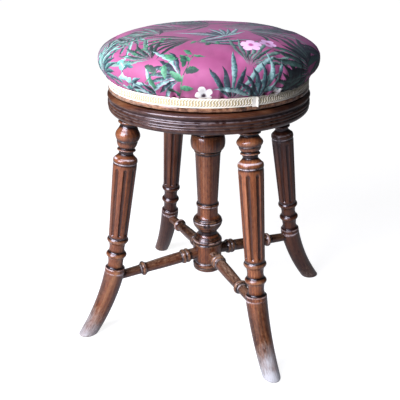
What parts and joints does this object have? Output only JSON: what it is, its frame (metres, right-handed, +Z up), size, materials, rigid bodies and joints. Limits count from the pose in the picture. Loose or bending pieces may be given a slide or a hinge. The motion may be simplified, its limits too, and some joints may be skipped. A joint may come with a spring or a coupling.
{
  "type": "revolving piano stool",
  "caption": "Revolving piano stool: a round stuffed seat that winds up and down on a screw, over a moulded round frame, splayed turned legs, a turned centre pillar and stretchers.",
  "frame": {"origin": "on the floor, on the axis of the pillar and the screw, midway between the feet", "axes": "+Z up along the pillar, -Y to the front, legs at 45 degrees to X and Y"},
  "size_m": [0.3678, 0.3678, 0.5207],
  "materials": {
    "walnut": "worn french polish",
    "dark_walnut": "worn french polish",
    "wrought_iron": "dark, oiled",
    "bright_steel": "dulled",
    "printed_cotton": "matt floral print",
    "woven_gimp": "matt woven braid",
    "hair_stuffing": "matt"
  },
  "bodies": {
    "frame": {"frame_top": "walnut", "pillar": "walnut", "leg_front_left": "walnut", "leg_front_right": "walnut", "leg_back_left": "walnut", "leg_back_right": "walnut", "stretcher_front_left": "dark_walnut", "stretcher_front_right": "dark_walnut", "stretcher_back_left": "dark_walnut", "stretcher_back_right": "dark_walnut", "screw_nut": "wrought_iron", "nut_screw_1": "bright_steel", "nut_screw_2": "bright_steel", "nut_screw_3": "bright_steel", "nut_screw_4": "bright_steel"},
    "lift": {"stop_washer": "wrought_iron"},
    "seat": {"lift_screw": "wrought_iron", "stop_pin": "bright_steel", "seat_flange": "wrought_iron", "flange_screw_1": "bright_steel", "flange_screw_2": "bright_steel", "flange_screw_3": "bright_steel", "flange_screw_4": "bright_steel", "flange_screw_5": "bright_steel", "flange_screw_6": "bright_steel", "seat_board": "dark_walnut", "seat_pad": "hair_stuffing", "seat_cover": "printed_cotton", "gimp_braid": "woven_gimp"}
  },
  "joints": [
    {"name": "seat_rise", "type": "slide", "parent": "frame", "child": "lift", "axis": [0, 0, 1], "range_m": [0, 0.1]},
    {"name": "seat_turn", "type": "hinge", "parent": "lift", "child": "seat", "pos_m": [0, 0, 0], "axis": [0, 0, 1], "range_deg": [0, 3600]}
  ],
  "couplings": [
    {"joint": "seat_rise", "follows": "seat_turn", "m_per_rad": 0.0015915}
  ]
}
